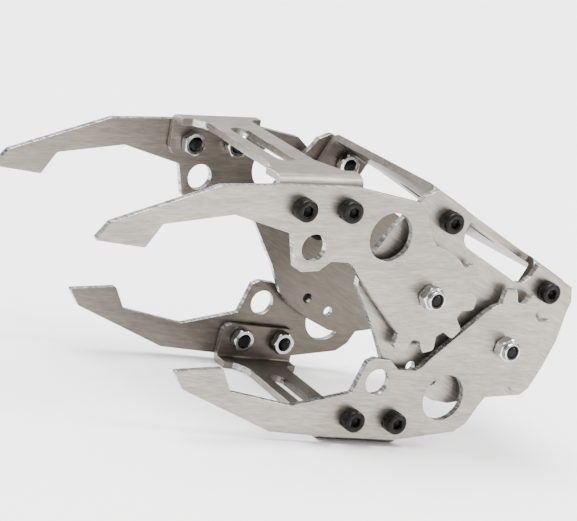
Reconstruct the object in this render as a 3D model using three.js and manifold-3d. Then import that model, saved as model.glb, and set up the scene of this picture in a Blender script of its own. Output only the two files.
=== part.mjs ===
// Four-finger sheet-metal gripper: two geared jaws on a two-plate base.
// Millimetres, +Z up, front towards -Y. It lies on the outer face of its lower jaw bracket.
import * as THREE from "three";
import { mergeVertices } from "three/addons/utils/BufferGeometryUtils.js";
import Module from "manifold-3d";

const wasm = await Module();
wasm.setup();

// Driving dimensions
const SHEET = 1.8;             // thickness of every plate and bracket
const GAP = 0.25;              // air left between pieces that touch
const HALF_DEPTH = 29.6;       // outer faces of the front and back jaw plates
const WASHER_THICKNESS = 1.2;  // spacer between a jaw plate and its base plate
const PIVOT_SPACING = 29.5;    // between the two jaw pivots
const PIVOT_LINE_ANGLE = -22;  // slope of the line through the pivots, degrees
const UPPER_JAW_ANGLE = 6;     // rest attitude of the upper jaw, degrees
const LOWER_JAW_ANGLE = 0;     // the lower jaw lies level
const BRACKET_TOP = 28.8;      // outer face of a jaw bracket above its pivot
const BEND_RADIUS = 2.6;       // outside radius of every bend
const TIP_RADIUS = 15.0;
const ROOT_RADIUS = 11.7;
const SCREW_RADIUS = 1.5;
const SCREW_HOLE = 1.75;
const PIVOT_HOLE = 1.58;
const CAP_RADIUS = 2.75;
const CAP_HEIGHT = 3.0;
const SOCKET_RADIUS = 1.44;
const SOCKET_DEPTH = 1.5;
const NUT_FLATS = 5.5;
const NUT_HEIGHT = 2.4;
const LOCKNUT_HEIGHT = 4.0;
const LOCKNUT_COLLAR = 2.4;
const LUG_HOLE = 3.3;
const WINDOW_HOLE = 6.0;
const SIDES = 28;              // facets round a plate hole

// Where the whole gripper sits: the lower pivot, over the middle of the footprint
const LOWER_PIVOT_X = 49.55;
const LOWER_PIVOT_Z = BRACKET_TOP;

const degrees = Math.PI / 180;

// Colours
const plateLook = { color: 0xc9c3bb, roughness: 0.38, metalness: 0.9 };
const blackLook = { color: 0x1c1917, roughness: 0.5, metalness: 0.6 };
const zincLook = { color: 0xc4c8cb, roughness: 0.28, metalness: 0.95 };

function material(look) {
  return new THREE.MeshStandardMaterial(look);
}

// Closed solid from a three.js geometry, with shared vertices merged
function solidFrom(geometry) {
  const plain = geometry.clone();
  plain.deleteAttribute("normal");
  plain.deleteAttribute("uv");
  const merged = mergeVertices(plain, 1e-5);
  const mesh = new wasm.Mesh({
    numProp: 3,
    vertProperties: new Float32Array(merged.attributes.position.array),
    triVerts: new Uint32Array(merged.index.array),
  });
  return new wasm.Manifold(mesh);
}

function geometryFrom(solid) {
  const mesh = solid.getMesh();
  const geometry = new THREE.BufferGeometry();
  geometry.setAttribute("position", new THREE.BufferAttribute(mesh.vertProperties, 3));
  geometry.setIndex(new THREE.BufferAttribute(mesh.triVerts, 1));
  geometry.computeVertexNormals();
  return geometry;
}

function circlePath(x, y, radius, sides = SIDES) {
  const path = new THREE.Path();
  for (let i = 0; i <= sides; i += 1) {
    const a = (i % sides) / sides * 2 * Math.PI;
    const px = x + radius * Math.cos(a);
    const py = y + radius * Math.sin(a);
    if (i === 0) path.moveTo(px, py);
    else path.lineTo(px, py);
  }
  return path;
}

function shapeFrom(points, holes = []) {
  const shape = new THREE.Shape(points.map((p) => new THREE.Vector2(p[0], p[1])));
  for (const [x, y, radius] of holes) shape.holes.push(circlePath(x, y, radius));
  return shape;
}

// Flat plate between two depths, drawn in the x-z view with depth along y
function plateGeometry(points, holes, thickness) {
  const shape = shapeFrom(points, holes);
  return new THREE.ExtrudeGeometry(shape, { depth: thickness, bevelEnabled: false });
}

// ---- Jaw plate, pivot at the origin, finger pointing to -x ----

// Finger and back of the plate, from the flank of the hub round to the shoulder over it
const FINGER = [
  [-8.2, -8.4],
  [-21.1, 4.85],
  [-23.0, 7.3],
  [-24.6, 8.3],
  [-29.6, 8.6],
  [-32.6, 6.3],
  [-37.4, 6.1],
  [-39.4, 7.2],
  [-41.5, 15.3],
  [-57.6, 19.8],
  [-75.5, 17.4],
  [-79.1, 11.9],
  [-91.2, 13.5],
  [-91.5, 14.0],
  [-88.4, 17.8],
  [-62.0, 26.6],
  [-45.9, 27.0],
  [-25.5, 26.7],
  [-7.7, 23.4],
  [-4.6, 20.9],
  [-2.1, 15.6],
  [-0.2, 12.6],
  [2.9, 11.5],
];
const JAW_SCREWS = [[-40.3, 21.7], [-27.8, 21.5]];
const JAW_HOLES = [
  [-35.0, 12.0, LUG_HOLE],
  [-13.9, 14.7, WINDOW_HOLE],
  [-40.3, 21.7, SCREW_HOLE],
  [-27.8, 21.5, SCREW_HOLE],
  [0, 0, PIVOT_HOLE],
];
// The straight flank of the hub, as a line at this distance and direction from the pivot
const FLANK_DISTANCE = 11.55;
const FLANK_DIRECTION = -136.8;

// Directions of the teeth from the pivot. Both upper plates are alike.
const UPPER_TEETH = [-111.9, -77.6, -43.3, -9.0, 25.3];
// The lower front plate's teeth stay out of mesh, so its spacing is a little uneven
const LOWER_FRONT_TEETH = [-98.5, -64.2, -27.5, 14.9, 49.2];
// The lower back plate has two more teeth, which mesh with the upper back plate at rest
const LOWER_BACK_TEETH = [-156.6, -122.3, -88.0, -53.7, -19.4, 14.9, 49.2];

function hubRadius(angle, teeth) {
  let radius = ROOT_RADIUS;
  for (const centre of teeth) {
    const off = Math.abs(((angle - centre + 540) % 360) - 180);
    if (off < 13) {
      const fade = off < 5 ? 0 : (off - 5) / 8;
      const lobe = ROOT_RADIUS + (TIP_RADIUS - ROOT_RADIUS) * 0.5 * (1 + Math.cos(Math.PI * fade));
      radius = Math.max(radius, lobe);
    }
  }
  return radius;
}

// Points round the toothed hub, walking from a start angle up to an end angle
function hubPoints(start, end, teeth, follow) {
  const angles = [start, end];
  for (const centre of teeth) {
    for (const off of [-13, -10.6, -8.6, -6.6, -4, 0, 4, 6.6, 8.6, 10.6, 13]) {
      angles.push(centre + off);
    }
  }
  for (let a = Math.ceil(start / 12) * 12; a < end; a += 12) angles.push(a);
  const sorted = angles.filter((a) => a >= start && a <= end).sort((a, b) => a - b);
  const out = [];
  let last = -1000;
  for (const a of sorted) {
    if (a - last < 1.2) continue;
    last = a;
    let radius = hubRadius(a, teeth);
    if (follow) {
      const slope = Math.cos((a - FLANK_DIRECTION) * degrees);
      if (slope > 0.5) radius = Math.max(radius, Math.min(FLANK_DISTANCE / slope, follow));
    }
    out.push([radius * Math.cos(a * degrees), radius * Math.sin(a * degrees)]);
  }
  return out;
}

function jawOutline(teeth) {
  const toothed = teeth[0] < -140;
  if (!toothed) return [...hubPoints(-124, 62, teeth, 0), ...FINGER.slice().reverse()];
  const hub = hubPoints(-172, 62, teeth, 15.0);
  return [...hub, ...FINGER.slice(1).reverse()];
}

// ---- Bent brackets ----

// U-shaped channel: web at y = top, flanges hanging to y = top - drop, depth from z0 to z1, along x
function channelProfile(z0, z1, top, drop) {
  const r = BEND_RADIUS;
  const inner = BEND_RADIUS - SHEET;
  const bottom = top - drop;
  const points = [[z0, bottom], [z0 + SHEET, bottom]];
  const arc = (cz, cy, radius, from, to) => {
    for (let i = 0; i <= 4; i += 1) {
      const a = (from + (to - from) * i / 4) * degrees;
      points.push([cz + radius * Math.cos(a), cy + radius * Math.sin(a)]);
    }
  };
  arc(z0 + r, top - r, inner, 180, 90);
  arc(z1 - r, top - r, inner, 90, 0);
  points.push([z1 - SHEET, bottom]);
  points.push([z1, bottom]);
  arc(z1 - r, top - r, r, 0, 90);
  arc(z0 + r, top - r, r, 90, 180);
  return points;
}

// Channel running along x from x0 to x1; its drawing plane is depth (z) against height (y)
function channelSolid(x0, x1, z0, z1, top, drop) {
  const profile = channelProfile(-z1, -z0, top, drop);
  const shape = shapeFrom(profile);
  const geometry = new THREE.ExtrudeGeometry(shape, { depth: x1 - x0, bevelEnabled: false });
  geometry.rotateY(Math.PI / 2);
  geometry.translate(x0, 0, 0);
  return solidFrom(geometry);
}

// Prism cut straight down through the web, drawn as x against z
function downwardCut(points, y0, y1) {
  const shape = shapeFrom(points.map(([x, z]) => [x, -z]));
  const geometry = new THREE.ExtrudeGeometry(shape, { depth: y1 - y0, bevelEnabled: false });
  geometry.rotateX(-Math.PI / 2);
  geometry.translate(0, y0, 0);
  return solidFrom(geometry);
}

// Prism cut along the depth, drawn as x against y
function depthCut(points, z0, z1) {
  const shape = shapeFrom(points);
  const geometry = new THREE.ExtrudeGeometry(shape, { depth: z1 - z0, bevelEnabled: false });
  geometry.translate(0, 0, z0);
  return solidFrom(geometry);
}

function roundCut(x, y, radius, z0, z1, sides = 20) {
  const geometry = new THREE.CylinderGeometry(radius, radius, z1 - z0, sides);
  geometry.rotateX(Math.PI / 2);
  geometry.translate(x, y, (z0 + z1) / 2);
  return solidFrom(geometry);
}

function slotOutline(x0, z0, x1, z1, halfWidth, steps = 6) {
  const along = Math.atan2(z1 - z0, x1 - x0);
  const out = [];
  for (let i = 0; i <= steps; i += 1) {
    const a = along - Math.PI / 2 + Math.PI * i / steps;
    out.push([x1 + halfWidth * Math.cos(a), z1 + halfWidth * Math.sin(a)]);
  }
  for (let i = 0; i <= steps; i += 1) {
    const a = along + Math.PI / 2 + Math.PI * i / steps;
    out.push([x0 + halfWidth * Math.cos(a), z0 + halfWidth * Math.sin(a)]);
  }
  return out;
}

// Depths of the stack, measured from the outer face of a jaw plate inwards
const FLANGE_DEPTH = SHEET + GAP;
const WASHER_DEPTH = SHEET + GAP;
const BASE_DEPTH = WASHER_DEPTH + WASHER_THICKNESS + GAP;
const BASE_FLANGE_DEPTH = BASE_DEPTH + SHEET + GAP;

// Jaw bracket, in the jaw's own frame: z is depth from the middle, + towards the front
const JAW_BRACKET_LEFT = -46.0;
const JAW_BRACKET_RIGHT = -23.0;
const JAW_BRACKET_DROP = 10.8;

function jawBracketSolid() {
  const z = HALF_DEPTH - FLANGE_DEPTH;
  let solid = channelSolid(JAW_BRACKET_LEFT, JAW_BRACKET_RIGHT, -z, z, BRACKET_TOP, JAW_BRACKET_DROP);
  const low = BRACKET_TOP - SHEET - 6;
  const high = BRACKET_TOP + 2;
  const left = [
    [JAW_BRACKET_LEFT - 2, -z + 6],
    [-43.4, -z + 6.4],
    [-41.2, -z + 9],
    [-40.8, -z + 12],
    [-43.2, z - 11],
    [-44.2, z - 7.5],
    [JAW_BRACKET_LEFT - 2, z - 6.5],
  ];
  const right = [
    [JAW_BRACKET_RIGHT + 2, -z + 5],
    [-25.2, -z + 5.2],
    [-26.8, -z + 7],
    [-28.8, z - 14],
    [-25.6, z - 5.2],
    [JAW_BRACKET_RIGHT + 2, z - 5],
  ];
  solid = solid.subtract(downwardCut(left, low, high));
  solid = solid.subtract(downwardCut(right, low, high));
  solid = solid.subtract(downwardCut(slotOutline(-35.2, -z + 16, -36.4, z - 15, 2.4), low, high));
  for (const [x, y] of JAW_SCREWS) solid = solid.subtract(roundCut(x, y, SCREW_HOLE, -z - 2, z + 2));
  const bottom = BRACKET_TOP - JAW_BRACKET_DROP;
  for (const [x, way] of [[JAW_BRACKET_LEFT, 1], [JAW_BRACKET_RIGHT, -1]]) {
    const corner = [
      [x - way, bottom - 1],
      [x + 2.2 * way, bottom - 1],
      [x + 2.2 * way, bottom],
      [x + 0.7 * way, bottom + 0.7],
      [x, bottom + 2.2],
      [x - way, bottom + 2.2],
    ];
    solid = solid.subtract(depthCut(corner, -z - 2, z + 2));
  }
  return solid;
}

// ---- Base, in the frame of the pivot line: x along it from the midpoint, y towards the rear web ----

const BASE_HALF = [
  [0, -21.3],
  [7.5, -20.9],
  [12.7, -19.4],
  [16.2, -16.9],
  [20.0, -14.3],
  [31.8, -7.6],
  [33.0, -5.0],
  [33.0, 1.0],
  [32.2, 9.0],
  [29.6, 17.0],
  [29.2, 19.5],
  [26.6, 22.6],
  [13.6, 22.6],
  [13.2, 22.2],
  [13.0, 18.6],
  [11.8, 16.2],
  [10.0, 15.2],
];
const BASE_SCREW_X = 19.4;
const BASE_SCREW_Y = 17.9;
const SERVO_SCREW_X = 4.15;
const SERVO_SCREW_Y = -16.7;
const SERVO_SCREW_RADIUS = 1.3;
const REAR_WEB = 23.2;
const REAR_DROP = 10.2;

function baseOutline() {
  const other = BASE_HALF.slice(1).reverse().map(([x, y]) => [-x, y]);
  return [...BASE_HALF, ...other];
}

const BASE_HOLES = [
  [-PIVOT_SPACING / 2, 0, SCREW_HOLE],
  [PIVOT_SPACING / 2, 0, SCREW_HOLE],
  [-BASE_SCREW_X, BASE_SCREW_Y, SCREW_HOLE],
  [BASE_SCREW_X, BASE_SCREW_Y, SCREW_HOLE],
  [-SERVO_SCREW_X, SERVO_SCREW_Y, SERVO_SCREW_RADIUS],
  [SERVO_SCREW_X, SERVO_SCREW_Y, SERVO_SCREW_RADIUS],
];

function rearBracketSolid() {
  const z = HALF_DEPTH - BASE_FLANGE_DEPTH;
  let solid = channelSolid(-26.4, 26.4, -z, z, REAR_WEB, REAR_DROP);
  const low = REAR_WEB - REAR_DROP - 2;
  const high = REAR_WEB + 2;
  const waist = (side) => [
    [-13.4, side * (z + 2)],
    [13.4, side * (z + 2)],
    [13.4, side * (z - 3.6)],
    [11.4, side * (z - 5)],
    [-11.4, side * (z - 5)],
    [-13.4, side * (z - 3.6)],
  ];
  for (const side of [-1, 1]) {
    const points = side > 0 ? waist(side).reverse() : waist(side);
    solid = solid.subtract(downwardCut(points, low, high));
  }
  solid = solid.subtract(downwardCut(slotOutline(-8, -9.5, 8, -9.5, 2.2), low, high));
  solid = solid.subtract(downwardCut(slotOutline(-8, 9.5, 8, 9.5, 2.2), low, high));
  for (const x of [-BASE_SCREW_X, BASE_SCREW_X]) {
    solid = solid.subtract(roundCut(x, BASE_SCREW_Y, SCREW_HOLE, -z - 2, z + 2));
  }
  return solid;
}

// ---- Hardware, built along +y from the seat outwards ----

function lathe(profile, sides) {
  return new THREE.LatheGeometry(profile.map(([r, y]) => new THREE.Vector2(r, y)), sides);
}

// Cap screw: the head stands on y = 0 and the shank runs down to -length
function capScrewGeometry(length) {
  const body = solidFrom(lathe([
    [0, -length],
    [SCREW_RADIUS - 0.25, -length],
    [SCREW_RADIUS, -length + 0.25],
    [SCREW_RADIUS, 0],
    [CAP_RADIUS, 0],
    [CAP_RADIUS, CAP_HEIGHT - 0.25],
    [CAP_RADIUS - 0.25, CAP_HEIGHT],
    [0, CAP_HEIGHT],
  ], 24));
  const socket = new THREE.CylinderGeometry(SOCKET_RADIUS, SOCKET_RADIUS, SOCKET_DEPTH + 1, 6);
  socket.translate(0, CAP_HEIGHT - SOCKET_DEPTH + (SOCKET_DEPTH + 1) / 2, 0);
  return geometryFrom(body.subtract(solidFrom(socket)));
}

function boreThrough(solid, radius, height) {
  const bore = new THREE.CylinderGeometry(radius, radius, height + 4, 20);
  bore.translate(0, height / 2, 0);
  return solid.subtract(solidFrom(bore));
}

function hexPrism(height) {
  const corner = NUT_FLATS / Math.sqrt(3);
  const prism = new THREE.CylinderGeometry(corner, corner, height, 6);
  prism.translate(0, height / 2, 0);
  return solidFrom(prism);
}

function nutGeometry() {
  return geometryFrom(boreThrough(hexPrism(NUT_HEIGHT), SCREW_RADIUS + 0.12, NUT_HEIGHT));
}

function lockNutGeometry() {
  const collar = solidFrom(lathe([
    [0, 2],
    [LOCKNUT_COLLAR + 0.2, 2],
    [LOCKNUT_COLLAR + 0.2, 2.9],
    [LOCKNUT_COLLAR, LOCKNUT_HEIGHT - 0.2],
    [LOCKNUT_COLLAR - 0.3, LOCKNUT_HEIGHT],
    [0, LOCKNUT_HEIGHT],
  ], 24));
  return geometryFrom(boreThrough(hexPrism(2.8).add(collar), SCREW_RADIUS + 0.12, LOCKNUT_HEIGHT));
}

function washerGeometry() {
  return geometryFrom(boreThrough(solidFrom(lathe([
    [0, 0],
    [3.5, 0],
    [3.5, WASHER_THICKNESS],
    [0, WASHER_THICKNESS],
  ], 24)), SCREW_RADIUS + 0.2, WASHER_THICKNESS));
}

const jawScrewGeometry = capScrewGeometry(GAP + SHEET + GAP + SHEET + GAP + NUT_HEIGHT + 0.7);
const pivotScrewLength = GAP + SHEET + GAP + WASHER_THICKNESS + GAP + SHEET + GAP + LOCKNUT_HEIGHT - 0.1;
const pivotScrewGeometry = capScrewGeometry(pivotScrewLength);
const nut = nutGeometry();
const lockNut = lockNutGeometry();
const washer = washerGeometry();

// Puts a lathed piece on the front (side 1) or back (side -1), pointing outwards or inwards
function addHardware(group, name, geometry, look, x, y, depth, side, outwards) {
  const mesh = new THREE.Mesh(geometry, material(look));
  mesh.name = name;
  mesh.position.set(x, y, side * (HALF_DEPTH - depth));
  mesh.rotation.x = side * (outwards ? 1 : -1) * Math.PI / 2;
  group.add(mesh);
}

function addPlate(group, name, geometry, depth, side) {
  const mesh = new THREE.Mesh(geometry, material(plateLook));
  mesh.name = name;
  mesh.position.z = side > 0 ? HALF_DEPTH - depth - SHEET : -(HALF_DEPTH - depth);
  group.add(mesh);
}

function mirrorUpsideDown(geometry) {
  const flipped = solidFrom(geometry).mirror([0, 1, 0]);
  return geometryFrom(flipped);
}

// One jaw: two plates, the bracket between them and its screws. flip = -1 turns it upside down.
function buildJaw(word, teethFront, teethBack, flip) {
  const jaw = new THREE.Group();
  const turn = (geometry) => (flip < 0 ? mirrorUpsideDown(geometry) : geometry);
  const front = turn(plateGeometry(jawOutline(teethFront), JAW_HOLES, SHEET));
  const back = turn(plateGeometry(jawOutline(teethBack), JAW_HOLES, SHEET));
  addPlate(jaw, `${word}_jaw_plate_front`, front, 0, 1);
  addPlate(jaw, `${word}_jaw_plate_back`, back, 0, -1);
  const bracket = new THREE.Mesh(turn(geometryFrom(jawBracketSolid())), material(plateLook));
  bracket.name = `${word}_jaw_bracket`;
  jaw.add(bracket);
  for (const [side, place] of [[1, "front"], [-1, "back"]]) {
    JAW_SCREWS.forEach(([x, y], i) => {
      const end = i === 0 ? "outer" : "inner";
      const screwName = `${word}_jaw_screw_${place}_${end}`;
      addHardware(jaw, screwName, jawScrewGeometry, blackLook, x, flip * y, -GAP, side, true);
      const nutName = `${word}_jaw_nut_${place}_${end}`;
      const depth = FLANGE_DEPTH + SHEET + GAP;
      addHardware(jaw, nutName, nut, zincLook, x, flip * y, depth, side, false);
    });
  }
  return jaw;
}

function buildBase() {
  const base = new THREE.Group();
  const plate = plateGeometry(baseOutline(), BASE_HOLES, SHEET);
  addPlate(base, "base_plate_front", plate, BASE_DEPTH, 1);
  addPlate(base, "base_plate_back", plate.clone(), BASE_DEPTH, -1);
  const bracket = new THREE.Mesh(geometryFrom(rearBracketSolid()), material(plateLook));
  bracket.name = "base_bracket";
  base.add(bracket);
  for (const [side, place] of [[1, "front"], [-1, "back"]]) {
    for (const [way, word] of [[-1, "upper"], [1, "lower"]]) {
      const x = way * BASE_SCREW_X;
      const y = BASE_SCREW_Y;
      const end = `${place}_${word}`;
      const outside = BASE_DEPTH - GAP;
      const inside = BASE_FLANGE_DEPTH + SHEET + GAP;
      addHardware(base, `base_screw_${end}`, jawScrewGeometry, blackLook, x, y, outside, side, true);
      addHardware(base, `base_nut_${end}`, nut, zincLook, x, y, inside, side, false);
      const pivot = way * PIVOT_SPACING / 2;
      const seat = BASE_DEPTH + SHEET + GAP;
      const pivotScrew = pivotScrewGeometry;
      addHardware(base, `pivot_screw_${end}`, pivotScrew, blackLook, pivot, 0, seat, side, false);
      addHardware(base, `pivot_washer_${end}`, washer, zincLook, pivot, 0, WASHER_DEPTH, side, false);
      addHardware(base, `pivot_nut_${end}`, lockNut, zincLook, pivot, 0, -GAP, side, true);
    }
  }
  return base;
}

// ---- Assembly, drawn in the front view: x right, y up, z towards the front ----

const gripper = new THREE.Group();
const slope = PIVOT_LINE_ANGLE * degrees;
const lowerPivot = new THREE.Vector2(LOWER_PIVOT_X, LOWER_PIVOT_Z);
const upperPivot = new THREE.Vector2(
  LOWER_PIVOT_X - PIVOT_SPACING * Math.cos(slope),
  LOWER_PIVOT_Z - PIVOT_SPACING * Math.sin(slope),
);

const upperJaw = buildJaw("upper", UPPER_TEETH, UPPER_TEETH, 1);
upperJaw.position.set(upperPivot.x, upperPivot.y, 0);
upperJaw.rotation.z = UPPER_JAW_ANGLE * degrees;
gripper.add(upperJaw);

const lowerJaw = buildJaw("lower", LOWER_FRONT_TEETH, LOWER_BACK_TEETH, -1);
lowerJaw.position.set(lowerPivot.x, lowerPivot.y, 0);
lowerJaw.rotation.z = LOWER_JAW_ANGLE * degrees;
gripper.add(lowerJaw);

const base = buildBase();
base.position.set((upperPivot.x + lowerPivot.x) / 2, (upperPivot.y + lowerPivot.y) / 2, 0);
base.rotation.z = slope;
gripper.add(base);

// Stand the front view up: its y becomes +Z and its z becomes -Y
const standing = new THREE.Group();
gripper.rotation.x = Math.PI / 2;
standing.add(gripper);

export default standing;
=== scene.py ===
"""Looks of the four-finger sheet-metal gripper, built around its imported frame."""

import math
import random

import bmesh
import bpy
from mathutils import Matrix, Vector


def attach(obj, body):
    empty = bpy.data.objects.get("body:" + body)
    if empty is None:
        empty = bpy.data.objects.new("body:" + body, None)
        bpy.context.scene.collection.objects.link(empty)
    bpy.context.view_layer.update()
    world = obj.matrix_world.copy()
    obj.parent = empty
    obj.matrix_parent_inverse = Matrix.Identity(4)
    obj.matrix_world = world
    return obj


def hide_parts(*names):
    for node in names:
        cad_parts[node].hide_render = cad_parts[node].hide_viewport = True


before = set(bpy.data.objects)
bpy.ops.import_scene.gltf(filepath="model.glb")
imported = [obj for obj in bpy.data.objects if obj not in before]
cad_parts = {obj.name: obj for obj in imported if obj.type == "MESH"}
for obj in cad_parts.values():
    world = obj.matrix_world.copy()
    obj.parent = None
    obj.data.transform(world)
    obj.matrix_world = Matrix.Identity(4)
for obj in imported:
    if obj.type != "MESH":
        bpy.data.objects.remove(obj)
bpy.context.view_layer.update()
random.seed(7)

MM = 0.001
SHEET = 1.8
GAP = 0.25
HALF_DEPTH = 29.6
WASHER_THICKNESS = 1.2
EDGE_EASE = 0.14
PIVOT_SPACING = 29.5
PIVOT_LINE_ANGLE = math.radians(-22)
UPPER_JAW_ANGLE = math.radians(6)
LOWER_PIVOT = Vector((49.55, 28.8))
PIVOT_LINE = Vector((math.cos(PIVOT_LINE_ANGLE), math.sin(PIVOT_LINE_ANGLE)))
UPPER_PIVOT = LOWER_PIVOT - PIVOT_SPACING * PIVOT_LINE
BASE_CENTRE = (LOWER_PIVOT + UPPER_PIVOT) / 2
BASE_DEPTH = SHEET + GAP + WASHER_THICKNESS + GAP
BASE_FLANGE_DEPTH = BASE_DEPTH + SHEET + GAP

# ---------------------------------------------------------------- materials


class Nodes:
    """A short way to write a node tree."""

    def __init__(self, name):
        self.material = bpy.data.materials.new(name)
        self.material.use_nodes = True
        self.tree = self.material.node_tree
        self.shader = self.tree.nodes["Principled BSDF"]

    def add(self, kind, inputs=None, **settings):
        node = self.tree.nodes.new(kind)
        for key, value in settings.items():
            setattr(node, key, value)
        for key, value in (inputs or {}).items():
            self.put(node.inputs[key], value)
        return node

    def put(self, socket, value):
        if isinstance(value, bpy.types.NodeSocket):
            self.tree.links.new(value, socket)
        else:
            socket.default_value = value

    def math(self, operation, a, b=0.0, clamp=False):
        node = self.add("ShaderNodeMath", {0: a, 1: b}, operation=operation, use_clamp=clamp)
        return node.outputs[0]

    def ramp(self, value, stops):
        node = self.add("ShaderNodeValToRGB", {0: value})
        elements = node.color_ramp.elements
        while len(elements) < len(stops):
            elements.new(0.5)
        for element, (at, colour) in zip(elements, stops):
            element.position = at
            element.color = colour
        return node.outputs[0]

    def mix(self, factor, a, b):
        node = self.add("ShaderNodeMix", data_type="RGBA")
        self.put(node.inputs[0], factor)
        self.put(node.inputs[6], a)
        self.put(node.inputs[7], b)
        return node.outputs[2]

    def noise(self, vector, scale, detail=4.0, rough=0.55):
        settings = {"Vector": vector, "Scale": scale, "Detail": detail, "Roughness": rough}
        node = self.add("ShaderNodeTexNoise", settings)
        return node.outputs["Fac"]

    def grain(self, angle, along, across, offset=0.0):
        """Object coordinates turned by angle in the x-z plane and stretched along the grain."""
        coords = self.add("ShaderNodeTexCoord").outputs["Object"]
        turned = self.add("ShaderNodeMapping", {"Vector": coords, "Rotation": (0, angle, 0)})
        settings = {
            "Vector": turned.outputs[0],
            "Scale": (along, across, across),
            "Location": (offset, offset, offset),
        }
        scaled = self.add("ShaderNodeMapping", settings)
        return scaled.outputs[0]


def sheet_material(name, angle, offset):
    """Satin rolled aluminium: fine short grain, faint clouding, a few scuffs, streaked sheared edges,
    and painted shade on the side turned inwards.
    """
    n = Nodes(name)
    coords = n.add("ShaderNodeTexCoord").outputs["Object"]
    fine = n.noise(n.grain(angle, 260, 2300, offset), 1.0, 3.0, 0.6)
    medium = n.noise(n.grain(angle, 90, 620, offset + 3), 1.0, 3.0, 0.6)
    cloud = n.noise(n.grain(angle, 28, 45, offset + 5), 1.0, 4.0, 0.55)
    specks = n.noise(coords, 1100.0, 2.0, 0.5)
    smudge = n.noise(n.grain(angle, 70, 120, offset + 9), 1.0, 6.0, 0.7)
    streak = n.math("ADD", n.math("MULTIPLY", fine, 0.6), n.math("MULTIPLY", medium, 0.4))
    tone = n.math("ADD", n.math("MULTIPLY", streak, 0.72), n.math("MULTIPLY", cloud, 0.28))
    face = n.ramp(tone, [
        (0.34, (0.190, 0.166, 0.142, 1)),
        (0.50, (0.295, 0.264, 0.230, 1)),
        (0.66, (0.420, 0.385, 0.345, 1)),
    ])
    # Painted shade: faces marked inner are mixed towards dark brown, more strongly towards +x, in place
    # of the shade inside the gripper.
    inner = n.add("ShaderNodeAttribute", attribute_name="inner").outputs["Fac"]
    place = n.add("ShaderNodeSeparateXYZ", {0: coords})
    inward = n.math("MULTIPLY", n.math("ADD", place.outputs[0], 0.065), 8.5, True)
    painted_shade_amount = n.math("ADD", 0.28, n.math("MULTIPLY", inward, 0.50))
    face = n.mix(n.math("MULTIPLY", inner, painted_shade_amount), face, (0.060, 0.046, 0.034, 1))
    dark = n.ramp(specks, [(0.68, (0, 0, 0, 1)), (0.78, (0.4, 0.4, 0.4, 1))])
    face = n.mix(dark, face, (0.12, 0.11, 0.10, 1))
    geometry = n.add("ShaderNodeNewGeometry")
    normal = n.add("ShaderNodeSeparateXYZ", {0: geometry.outputs["Normal"]})
    flat = n.math("ABSOLUTE", normal.outputs[1])
    edge = n.math("SUBTRACT", 1.0, n.math("MULTIPLY", n.math("SUBTRACT", flat, 0.55), 5.0, True), True)
    stretched = n.add("ShaderNodeMapping", {"Vector": coords, "Scale": (1900, 200, 1900)})
    sheared = n.noise(stretched.outputs[0], 1.0, 2.0, 0.5)
    drift = n.noise(coords, 300.0, 3.0, 0.6)
    sheared = n.math("ADD", n.math("MULTIPLY", sheared, 0.6), n.math("MULTIPLY", drift, 0.4))
    cut = n.ramp(sheared, [
        (0.35, (0.11, 0.112, 0.115, 1)),
        (0.50, (0.36, 0.362, 0.365, 1)),
        (0.64, (0.74, 0.74, 0.74, 1)),
    ])
    web = n.add("ShaderNodeAttribute", attribute_name="web").outputs["Fac"]
    cutting = n.math("MULTIPLY", edge, n.math("SUBTRACT", 1.0, web), True)
    n.put(n.shader.inputs["Base Color"], n.mix(cutting, face, cut))
    n.put(n.shader.inputs["Metallic"], 0.92)
    rough = n.math("ADD", n.math("MULTIPLY", smudge, 0.20), n.math("MULTIPLY", streak, 0.16))
    rough = n.math("ADD", rough, 0.20)
    rough = n.math("SUBTRACT", rough, n.math("MULTIPLY", cutting, 0.12))
    n.put(n.shader.inputs["Roughness"], rough)
    height = n.math("ADD", n.math("MULTIPLY", fine, 0.6), n.math("MULTIPLY", medium, 0.4))
    height = n.mix(cutting, height, sheared)
    bump = n.add("ShaderNodeBump", {"Strength": 0.35, "Distance": 0.00006, "Height": height})
    n.put(n.shader.inputs["Normal"], bump.outputs[0])
    return n.material


def black_material():
    """Black-oxide steel: deep warm black, oily sheen, a little browner in random blotches."""
    n = Nodes("black_oxide")
    coords = n.add("ShaderNodeTexCoord").outputs["Object"]
    blotch = n.noise(coords, 500.0, 5.0, 0.6)
    fine = n.noise(coords, 5200.0, 3.0, 0.6)
    colour = n.ramp(blotch, [
        (0.3, (0.004, 0.0037, 0.0034, 1)),
        (0.6, (0.009, 0.008, 0.007, 1)),
        (0.8, (0.030, 0.024, 0.020, 1)),
    ])
    n.put(n.shader.inputs["Base Color"], colour)
    n.put(n.shader.inputs["Specular IOR Level"], 0.1)
    n.put(n.shader.inputs["Roughness"], n.math("ADD", 0.18, n.math("MULTIPLY", blotch, 0.22)))
    bump = n.add("ShaderNodeBump", {"Strength": 0.25, "Distance": 0.00004, "Height": fine})
    n.put(n.shader.inputs["Normal"], bump.outputs[0])
    return n.material


def zinc_material():
    """Bright zinc plate with turning marks."""
    n = Nodes("bright_zinc")
    coords = n.add("ShaderNodeTexCoord").outputs["Object"]
    stretched = n.add("ShaderNodeMapping", {"Vector": coords, "Scale": (700, 4200, 700)})
    rings = n.noise(stretched.outputs[0], 1.0, 3.0, 0.6)
    blotch = n.noise(coords, 420.0, 4.0, 0.6)
    colour = n.ramp(blotch, [
        (0.3, (0.34, 0.35, 0.36, 1)),
        (0.55, (0.56, 0.575, 0.585, 1)),
        (0.8, (0.74, 0.75, 0.75, 1)),
    ])
    n.put(n.shader.inputs["Base Color"], colour)
    n.put(n.shader.inputs["Metallic"], 1.0)
    n.put(n.shader.inputs["Roughness"], n.math("ADD", 0.06, n.math("MULTIPLY", rings, 0.16)))
    bump = n.add("ShaderNodeBump", {"Strength": 0.15, "Distance": 0.00005, "Height": rings})
    n.put(n.shader.inputs["Normal"], bump.outputs[0])
    return n.material


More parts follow.
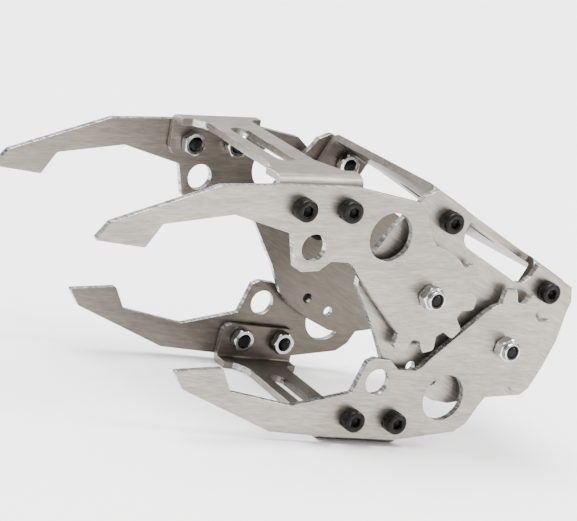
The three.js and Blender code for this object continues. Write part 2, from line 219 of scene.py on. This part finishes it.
def nylon_material():
    """Dark nylon ring of a lock nut."""
    n = Nodes("dark_nylon")
    coords = n.add("ShaderNodeTexCoord").outputs["Object"]
    speck = n.noise(coords, 1500.0, 3.0, 0.5)
    colour = n.ramp(speck, [(0.3, (0.014, 0.014, 0.016, 1)), (0.7, (0.032, 0.032, 0.036, 1))])
    n.put(n.shader.inputs["Base Color"], colour)
    n.put(n.shader.inputs["Roughness"], 0.42)
    bump = n.add("ShaderNodeBump", {"Strength": 0.2, "Distance": 0.00004, "Height": speck})
    n.put(n.shader.inputs["Normal"], bump.outputs[0])
    return n.material


UPPER_SHEET = sheet_material("aluminium_upper", UPPER_JAW_ANGLE, 0.0)
LOWER_SHEET = sheet_material("aluminium_lower", 0.0, 17.0)
BASE_SHEET = sheet_material("aluminium_base", PIVOT_LINE_ANGLE, 31.0)
BLACK = black_material()
ZINC = zinc_material()
NYLON = nylon_material()

# ---------------------------------------------------------------- shared helpers


def place_matrix(origin, angle, depth=0.0):
    """From a drawing plane (x right, y up, z to the front) to the row, in millimetres."""
    stand = Matrix.Rotation(math.radians(90), 4, "X")
    turn = Matrix.Rotation(angle, 4, "Z")
    shift = Matrix.Translation((origin[0], origin[1], depth))
    return stand @ shift @ turn


def finish_mesh(name, mesh, materials, body, node, slot, sharp=32.0):
    """Names, smooths and hangs one piece on its body in place of its CAD node."""
    edit = bmesh.new()
    edit.from_mesh(mesh)
    bmesh.ops.recalc_face_normals(edit, faces=edit.faces)
    limit = math.radians(sharp)
    for face in edit.faces:
        face.smooth = True
    for edge in edit.edges:
        edge.smooth = edge.is_manifold and edge.calc_face_angle(0.0) < limit
    edit.to_mesh(mesh)
    edit.free()
    if len(materials) == 1:
        mesh.materials.clear()
    for material in materials:
        mesh.materials.append(material)
    piece = bpy.data.objects.new(name, mesh)
    bpy.context.scene.collection.objects.link(piece)
    if slot == "sheet":
        mark_inner(mesh)
        even = piece.modifiers.new("even_shading", "WEIGHTED_NORMAL")
        even.keep_sharp = True
        even.weight = 100
    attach(piece, body)
    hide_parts(node)
    return piece


def mark_inner(mesh):
    """Marks the side of the sheet turned to the middle of the gripper, which the sheet material darkens
    with painted shade.
    """
    low, high = mesh.vertices[0].co.copy(), mesh.vertices[0].co.copy()
    for vertex in mesh.vertices:
        low = Vector(map(min, low, vertex.co))
        high = Vector(map(max, high, vertex.co))
    bent = high.y - low.y > 0.02
    heart = Vector(((low.x + high.x) / 2, 0, 0.036))
    values = []
    for polygon in mesh.polygons:
        centre = polygon.center
        if abs(polygon.normal.y) > 0.7:
            values.append(1.0 if polygon.normal.y * centre.y < 0 else 0.0)
        elif bent and polygon.area > 6e-6:
            values.append(1.0 if polygon.normal.dot(heart - centre) > 0 else 0.0)
        else:
            values.append(0.0)
    inner = mesh.attributes.new("inner", "FLOAT", "FACE")
    inner.data.foreach_set("value", values)


def rounded(points, radius, steps=5, sharpest=170.0):
    """Rounds the corners of a closed polygon, less where its edges are short."""
    out = []
    count = len(points)
    for i in range(count):
        corner = Vector(points[i])
        before = Vector(points[i - 1]) - corner
        after = Vector(points[(i + 1) % count]) - corner
        opening = before.angle(after)
        if math.degrees(opening) > sharpest:
            out.append(tuple(corner))
            continue
        reach = min(radius / math.tan(opening / 2), 0.45 * before.length, 0.45 * after.length)
        start = corner + before.normalized() * reach
        end = corner + after.normalized() * reach
        for k in range(steps + 1):
            t = k / steps
            out.append(tuple((1 - t) ** 2 * start + 2 * t * (1 - t) * corner + t * t * end))
    return out


def circle(x, y, radius, count=72):
    turn = 2 * math.pi / count
    return [(x + radius * math.cos(i * turn), y + radius * math.sin(i * turn)) for i in range(count)]


def plate_mesh(name, outline, holes, thickness, edge=EDGE_EASE):
    """Flat plate with eased edges, from z = 0 up to its thickness, in millimetres."""
    curve = bpy.data.curves.new(name + "_outline", "CURVE")
    curve.dimensions = "2D"
    curve.fill_mode = "BOTH"
    curve.extrude = thickness / 2 - edge
    curve.bevel_depth = edge
    curve.bevel_resolution = 2
    curve.offset = -edge
    for loop in [outline] + holes:
        spline = curve.splines.new("POLY")
        spline.points.add(len(loop) - 1)
        for point, (x, y) in zip(spline.points, loop):
            point.co = (x, y, 0, 1)
        spline.use_cyclic_u = True
    maker = bpy.data.objects.new(name + "_maker", curve)
    bpy.context.scene.collection.objects.link(maker)
    depsgraph = bpy.context.evaluated_depsgraph_get()
    mesh = bpy.data.meshes.new_from_object(maker.evaluated_get(depsgraph))
    bpy.data.objects.remove(maker)
    bpy.data.curves.remove(curve)
    mesh.name = name
    mesh.transform(Matrix.Translation((0, 0, thickness / 2)))
    edit = bmesh.new()
    edit.from_mesh(mesh)
    bmesh.ops.remove_doubles(edit, verts=edit.verts, dist=0.0005)
    edit.to_mesh(mesh)
    edit.free()
    return mesh


# ---------------------------------------------------------------- jaw plates

TIP_RADIUS = 15.0
ROOT_RADIUS = 11.7
FLANK_DISTANCE = 11.55
FLANK_DIRECTION = -136.8
FINGER = [
    (-8.2, -8.4), (-21.1, 4.85), (-23.0, 7.3), (-24.6, 8.3), (-29.6, 8.6), (-32.6, 6.3),
    (-37.4, 6.1), (-39.4, 7.2), (-41.5, 15.3), (-57.6, 19.8), (-75.5, 17.4), (-79.1, 11.9),
    (-91.2, 13.5), (-91.5, 14.0), (-88.4, 17.8), (-62.0, 26.6), (-45.9, 27.0), (-25.5, 26.7),
    (-7.7, 23.4), (-4.6, 20.9), (-2.1, 15.6), (-0.2, 12.6), (2.9, 11.5),
]
JAW_SCREWS = [(-40.3, 21.7), (-27.8, 21.5)]
UPPER_TEETH = [-111.9, -77.6, -43.3, -9.0, 25.3]
LOWER_TEETH = [-88.0, -53.7, -19.4, 14.9, 49.2]
LOWER_FRONT_TEETH = [-98.5, -64.2, -27.5, 14.9, 49.2]
EXTRA_TEETH = [-156.6, -122.3]


def hub_radius(angle, teeth):
    radius = ROOT_RADIUS
    for centre in teeth:
        off = abs((angle - centre + 540) % 360 - 180)
        if off < 13:
            fade = 0 if off < 5 else (off - 5) / 8
            lobe = ROOT_RADIUS + (TIP_RADIUS - ROOT_RADIUS) * 0.5 * (1 + math.cos(math.pi * fade))
            radius = max(radius, lobe)
    return radius


def jaw_outline(teeth):
    """Toothed hub in fine steps, then the finger with its corners eased."""
    extended = teeth[0] < -140
    start = -172.0 if extended else -124.0
    hub = []
    steps = int((62.0 - start) / 1.2)
    for i in range(steps + 1):
        angle = start + (62.0 - start) * i / steps
        radius = hub_radius(angle, teeth)
        slope = math.cos(math.radians(angle - FLANK_DIRECTION))
        if extended and slope > 0.5:
            radius = max(radius, min(FLANK_DISTANCE / slope, 15.0))
        hub.append((radius * math.cos(math.radians(angle)), radius * math.sin(math.radians(angle))))
    finger = list(reversed(FINGER[1:] if extended else FINGER))
    whole = rounded(finger + [hub[0], hub[-1]], 0.7)
    ends = [Vector(hub[0]), Vector(hub[-1])]
    return hub + [p for p in whole if min((Vector(p) - end).length for end in ends) > 1.0]


def jaw_plate(name, teeth, flip, origin, angle, side, material, body, node):
    outline = [(x, flip * y) for x, y in jaw_outline(teeth)]
    holes = [
        circle(-35.0, flip * 12.0, 3.3),
        circle(-13.9, flip * 14.7, 6.0),
        circle(0, 0, 1.58, 40),
    ]
    for x, y in JAW_SCREWS:
        holes.append(circle(x, flip * y, 1.75, 40))
    mesh = plate_mesh(name, outline, holes, SHEET)
    depth = HALF_DEPTH - SHEET if side > 0 else -HALF_DEPTH
    mesh.transform(place_matrix(origin, angle, depth))
    mesh.transform(Matrix.Scale(MM, 4))
    return finish_mesh(name, mesh, [material], body, node, "sheet")


for word, flip, origin, angle, material in (
    ("upper", 1, UPPER_PIVOT, UPPER_JAW_ANGLE, UPPER_SHEET),
    ("lower", -1, LOWER_PIVOT, 0.0, LOWER_SHEET),
):
    for place, side in (("front", 1), ("back", -1)):
        teeth = UPPER_TEETH if word == "upper" else LOWER_FRONT_TEETH
        if word == "lower" and place == "back":
            teeth = EXTRA_TEETH + LOWER_TEETH
        node = f"{word}_jaw_plate_{place}"
        jaw_plate(node + "_look", teeth, flip, origin, angle, side, material, word + "_jaw", node)

# ---------------------------------------------------------------- base plates

BASE_HALF = [
    (0, -21.3), (7.5, -20.9), (12.7, -19.4), (16.2, -16.9), (20.0, -14.3), (31.8, -7.6), (33.0, -5.0),
    (33.0, 1.0), (32.2, 9.0), (29.6, 17.0), (29.2, 19.5), (26.6, 22.6), (13.6, 22.6), (13.2, 22.2),
    (13.0, 18.6), (11.8, 16.2), (10.0, 15.2),
]
BASE_SCREW = (19.4, 17.9)


def base_plate(place, side):
    other = [(-x, y) for x, y in reversed(BASE_HALF[1:])]
    outline = rounded(BASE_HALF + other, 1.0)
    holes = []
    for way in (-1, 1):
        holes.append(circle(way * PIVOT_SPACING / 2, 0, 1.75, 40))
        holes.append(circle(way * BASE_SCREW[0], BASE_SCREW[1], 1.75, 40))
        holes.append(circle(way * 4.15, -16.7, 1.3, 40))
    name = f"base_plate_{place}"
    mesh = plate_mesh(name + "_look", outline, holes, SHEET)
    depth = HALF_DEPTH - BASE_DEPTH - SHEET if side > 0 else -(HALF_DEPTH - BASE_DEPTH)
    mesh.transform(place_matrix(BASE_CENTRE, PIVOT_LINE_ANGLE, depth))
    mesh.transform(Matrix.Scale(MM, 4))
    return finish_mesh(name + "_look", mesh, [BASE_SHEET], "base", name, "sheet")


base_plate("front", 1)
base_plate("back", -1)

# ---------------------------------------------------------------- bent brackets


def bracket(node, material, body):
    """Same bent sheet as the CAD node, with its cut edges eased."""
    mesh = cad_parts[node].data.copy()
    mesh.name = node + "_look"
    mesh.transform(Matrix.Scale(1 / MM, 4))
    edit = bmesh.new()
    edit.from_mesh(mesh)
    bmesh.ops.remove_doubles(edit, verts=edit.verts, dist=0.001)
    bmesh.ops.dissolve_limit(edit, angle_limit=math.radians(0.6), verts=edit.verts, edges=edit.edges)
    bmesh.ops.recalc_face_normals(edit, faces=edit.faces)
    hard = [e for e in edit.edges if e.is_manifold and e.calc_face_angle(0.0) > math.radians(40)]
    bmesh.ops.bevel(
        edit, geom=hard, offset=EDGE_EASE, segments=2, profile=0.6, affect="EDGES", clamp_overlap=True
    )
    edit.to_mesh(mesh)
    edit.free()
    mesh.transform(Matrix.Scale(MM, 4))
    piece = finish_mesh(node + "_look", mesh, [material], body, node, "sheet", 38.0)
    web = mesh.attributes.new("web", "FLOAT", "FACE")
    areas = [polygon.area for polygon in mesh.polygons]
    values = [1.0 if area > 6e-6 else 0.0 for area in areas]
    web.data.foreach_set("value", values)
    return piece


bracket("upper_jaw_bracket", UPPER_SHEET, "upper_jaw")
bracket("lower_jaw_bracket", LOWER_SHEET, "lower_jaw")
bracket("base_bracket", BASE_SHEET, "base")

# ---------------------------------------------------------------- hardware


def hexagon(flats):
    """Radius of a hexagon in each direction, with its corners just broken."""
    def radius(angle):
        part = (angle + math.pi / 6) % (math.pi / 3) - math.pi / 6
        return min(flats / 2 / math.cos(part), flats / math.sqrt(3) * 0.985)
    return radius


def loft(name, rings, sides=60, closed=False):
    """Skins a stack of rings; each ring is its height and a radius, or a function of the angle."""
    edit = bmesh.new()
    loops = []
    for height, radius, *mark in rings:
        loop = []
        for i in range(sides):
            angle = 2 * math.pi * i / sides
            size = radius(angle) if callable(radius) else radius
            loop.append(edit.verts.new((size * math.cos(angle), size * math.sin(angle), height)))
        loops.append((loop, mark[0] if mark else 0))
    pairs = list(zip(loops, loops[1:]))
    if closed:
        pairs.append((loops[-1], loops[0]))
    for (lower, _), (upper, index) in pairs:
        for i in range(sides):
            k = (i + 1) % sides
            face = edit.faces.new((lower[i], lower[k], upper[k], upper[i]))
            face.material_index = index
    if not closed:
        edit.faces.new(list(reversed(loops[0][0])))
        top = edit.faces.new(loops[-1][0])
        top.material_index = loops[-1][1]
    mesh = bpy.data.meshes.new(name)
    edit.to_mesh(mesh)
    edit.free()
    return mesh


def shank(length, thread_from):
    """Rings of a screw's shank from its tip up to just under the head, threaded near the tip."""
    rings = [(-length, 1.05), (-length + 0.12, 1.2), (-length + 0.3, 1.44)]
    height = -length + 0.3
    while height < -thread_from:
        rings.append((height + 0.14, 1.28))
        rings.append((height + 0.26, 1.28))
        rings.append((height + 0.40, 1.49))
        rings.append((height + 0.50, 1.49))
        height += 0.5
    return rings


def cap_screw(name, length):
    """Socket cap screw: knurled head standing on z = 0, six-sided socket, shank below."""
    grip = lambda a: 2.75 - 0.09 * (0.5 + 0.5 * math.cos(a * 30))
    socket = hexagon(2.5)
    rings = shank(length, 0.8) + [(-0.02, 1.49), (0.0, 1.6)]
    rings += [(0.0, 2.45), (0.10, 2.62), (0.22, grip), (2.35, grip)]
    rings += [(2.48, 2.70), (2.72, 2.66), (2.90, 2.54), (3.0, 2.36)]
    rings += [(3.0, 1.72), (2.96, 1.58), (2.80, socket), (1.5, socket), (1.32, 0.9), (1.15, 0.05)]
    return loft(name, rings, 120)


def hex_nut(name, height, collar=None):
    """Chamfered hexagon nut, with a plain bore or a collar that holds a nylon ring."""
    flats = hexagon(5.5)
    def cut(limit):
        return lambda a: min(flats(a), limit)
    rings = [(0.0, 2.62), (0.12, cut(2.85)), (0.30, cut(3.05)), (0.42, flats)]
    body = 2.8 if collar else height
    rings += [(body - 0.42, flats), (body - 0.30, cut(3.05)), (body - 0.12, cut(2.85)), (body, 2.66)]
    if collar:
        rings += [(body + 0.02, collar + 0.12), (body + 0.35, collar + 0.05)]
        rings += [(height - 0.35, collar), (height - 0.10, collar - 0.12)]
        rings += [(height, collar - 0.34), (height - 0.04, collar - 0.50)]
        rings += [(height - 0.16, collar - 0.52, 1), (height - 0.18, 1.64, 1)]
        rings += [(body, 1.62, 1), (0.3, 1.62), (0.0, 1.8)]
    else:
        rings += [(body, 1.95), (body - 0.25, 1.66), (0.25, 1.66), (0.0, 1.95)]
    return loft(name, rings, 60, True)


def washer_mesh(name):
    t = WASHER_THICKNESS
    rings = [(0, 3.36), (0.12, 3.5), (t - 0.12, 3.5), (t, 3.36)]
    rings += [(t, 1.82), (t - 0.1, 1.72), (0.1, 1.72), (0, 1.82)]
    return loft(name, rings, 48, True)


def set_hardware(node, mesh, materials, slot, origin, angle, x, y, depth, side, outwards, body):
    """Stands a piece on a face at a depth from the outer jaw face, pointing outwards or inwards."""
    mesh = mesh.copy()
    mesh.name = node + "_look"
    twist = Matrix.Rotation(random.uniform(0, math.pi), 4, "Z")
    away = 1 if (side > 0) == outwards else -1
    face = Matrix.Identity(4) if away > 0 else Matrix.Rotation(math.pi, 4, "X")
    local = Matrix.Translation((x, y, side * (HALF_DEPTH - depth)))
    mesh.transform(place_matrix(origin, angle) @ local @ face @ twist)
    mesh.transform(Matrix.Scale(MM, 4))
    return finish_mesh(node + "_look", mesh, materials, body, node, slot, 30.0)


SHORT_LENGTH = 3 * GAP + 2 * SHEET + 2.4 + 0.7
LONG_LENGTH = 4 * GAP + 2 * SHEET + WASHER_THICKNESS + 4.0 - 0.1
SHORT_SCREW = (cap_screw("short_screw", SHORT_LENGTH), [BLACK], "black_steel")
LONG_SCREW = (cap_screw("long_screw", LONG_LENGTH), [BLACK], "black_steel")
PLAIN_NUT = (hex_nut("plain_nut", 2.4), [ZINC], "zinc_steel")
LOCK_NUT = (hex_nut("lock_nut", 4.0, 2.4), [ZINC, NYLON], "zinc_steel")
WASHER = (washer_mesh("washer"), [ZINC], "zinc_steel")
NUT_DEPTH = 2 * SHEET + 2 * GAP
BASE_NUT_DEPTH = BASE_FLANGE_DEPTH + SHEET + GAP
PIVOT_SEAT = BASE_DEPTH + SHEET + GAP

for word, flip, origin, angle in (
    ("upper", 1, UPPER_PIVOT, UPPER_JAW_ANGLE),
    ("lower", -1, LOWER_PIVOT, 0.0),
):
    body = word + "_jaw"
    for place, side in (("front", 1), ("back", -1)):
        for (x, y), which in zip(JAW_SCREWS, ("outer", "inner")):
            spot = (origin, angle, x, flip * y)
            end = f"{place}_{which}"
            set_hardware(f"{body}_screw_{end}", *SHORT_SCREW, *spot, -GAP, side, True, body)
            set_hardware(f"{body}_nut_{end}", *PLAIN_NUT, *spot, NUT_DEPTH, side, False, body)

for place, side in (("front", 1), ("back", -1)):
    for way, word in ((-1, "upper"), (1, "lower")):
        end = f"{place}_{word}"
        boss = (BASE_CENTRE, PIVOT_LINE_ANGLE, way * BASE_SCREW[0], BASE_SCREW[1])
        set_hardware(f"base_screw_{end}", *SHORT_SCREW, *boss, BASE_DEPTH - GAP, side, True, "base")
        set_hardware(f"base_nut_{end}", *PLAIN_NUT, *boss, BASE_NUT_DEPTH, side, False, "base")
        pivot = (BASE_CENTRE, PIVOT_LINE_ANGLE, way * PIVOT_SPACING / 2, 0)
        set_hardware(f"pivot_screw_{end}", *LONG_SCREW, *pivot, PIVOT_SEAT, side, False, "base")
        set_hardware(f"pivot_washer_{end}", *WASHER, *pivot, SHEET + GAP, side, False, "base")
        set_hardware(f"pivot_nut_{end}", *LOCK_NUT, *pivot, -GAP, side, True, "base")

# ---------------------------------------------------------------- floor, light and camera

floor_mesh = bpy.data.meshes.new("floor")
reach = 30.0
corners = [(-reach, -reach, 0), (reach, -reach, 0), (reach, reach, 0), (-reach, reach, 0)]
floor_mesh.from_pydata(corners, [], [(0, 1, 2, 3)])
floor = bpy.data.objects.new("floor", floor_mesh)
bpy.context.scene.collection.objects.link(floor)
pale = Nodes("pale_floor")
cloud = pale.noise(pale.add("ShaderNodeTexCoord").outputs["Object"], 3.0, 2.0)
paint = pale.ramp(cloud, [(0.3, (0.90, 0.90, 0.90, 1)), (0.7, (0.93, 0.93, 0.93, 1))])
pale.put(pale.shader.inputs["Base Color"], paint)
pale.put(pale.shader.inputs["Roughness"], 0.8)
pale.put(pale.shader.inputs["Specular IOR Level"], 0.2)
floor_mesh.materials.append(pale.material)

# A bright ceiling over a dimmer surround, so that upright metal keeps its contrast on a pale floor.
world = bpy.data.worlds.new("studio")
world.use_nodes = True
sky = world.node_tree
direction = sky.nodes.new("ShaderNodeTexCoord")
parts = sky.nodes.new("ShaderNodeSeparateXYZ")
shade = sky.nodes.new("ShaderNodeValToRGB")
shade.color_ramp.elements[0].position = 0.05
shade.color_ramp.elements[0].color = (0.11, 0.11, 0.115, 1)
shade.color_ramp.elements[1].position = 0.75
shade.color_ramp.elements[1].color = (1, 1, 1, 1)
sky.links.new(direction.outputs["Generated"], parts.inputs[0])
sky.links.new(parts.outputs[2], shade.inputs[0])
sky.links.new(shade.outputs[0], sky.nodes["Background"].inputs[0])
sky.nodes["Background"].inputs[1].default_value = 2.0
bpy.context.scene.world = world


def soft_sun(name, source, spread, strength, colour):
    """Even light from one direction, softened over a spread in degrees."""
    data = bpy.data.lights.new(name, "SUN")
    data.energy = strength
    data.angle = math.radians(spread)
    data.color = colour
    light = bpy.data.objects.new(name, data)
    light.rotation_euler = Vector(source).to_track_quat("Z", "Y").to_euler()
    bpy.context.scene.collection.objects.link(light)


soft_sun("key_right", (0.80, -0.22, 0.75), 22, 5.0, (1.0, 0.985, 0.96))
soft_sun("top", (-0.15, 0.25, 1.0), 40, 6.5, (1.0, 1.0, 1.0))

# The camera looks at a point on the upper front finger, from its left and above, rolled with that jaw.
CAMERA_AIM = Vector((-41.423, 8.959, 0))
CAMERA_DISTANCE = 490.156
CAMERA_PITCH = 0.3248
CAMERA_YAW = 0.5514
CAMERA_LENS = 132.613
across = math.sin(CAMERA_YAW)
ahead = math.cos(CAMERA_YAW)
rise = math.sin(CAMERA_PITCH)
level = math.cos(CAMERA_PITCH)
right = Vector((ahead, across * rise, across * level))
up = Vector((0, level, -rise))
back = Vector((-across, ahead * rise, ahead * level))
stand = place_matrix(UPPER_PIVOT, UPPER_JAW_ANGLE, HALF_DEPTH)
turn = stand.to_3x3()
spot = stand @ (CAMERA_DISTANCE * back + CAMERA_AIM)
camera_data = bpy.data.cameras.new("camera")
camera_data.sensor_width = 36
camera_data.lens = CAMERA_LENS
camera_data.clip_start = 0.01
camera_data.clip_end = 20
camera = bpy.data.objects.new("camera", camera_data)
axes = Matrix((turn @ right, turn @ up, turn @ back)).transposed()
camera.matrix_world = Matrix.Translation(spot * MM) @ axes.to_4x4()
bpy.context.scene.collection.objects.link(camera)
bpy.context.scene.camera = camera
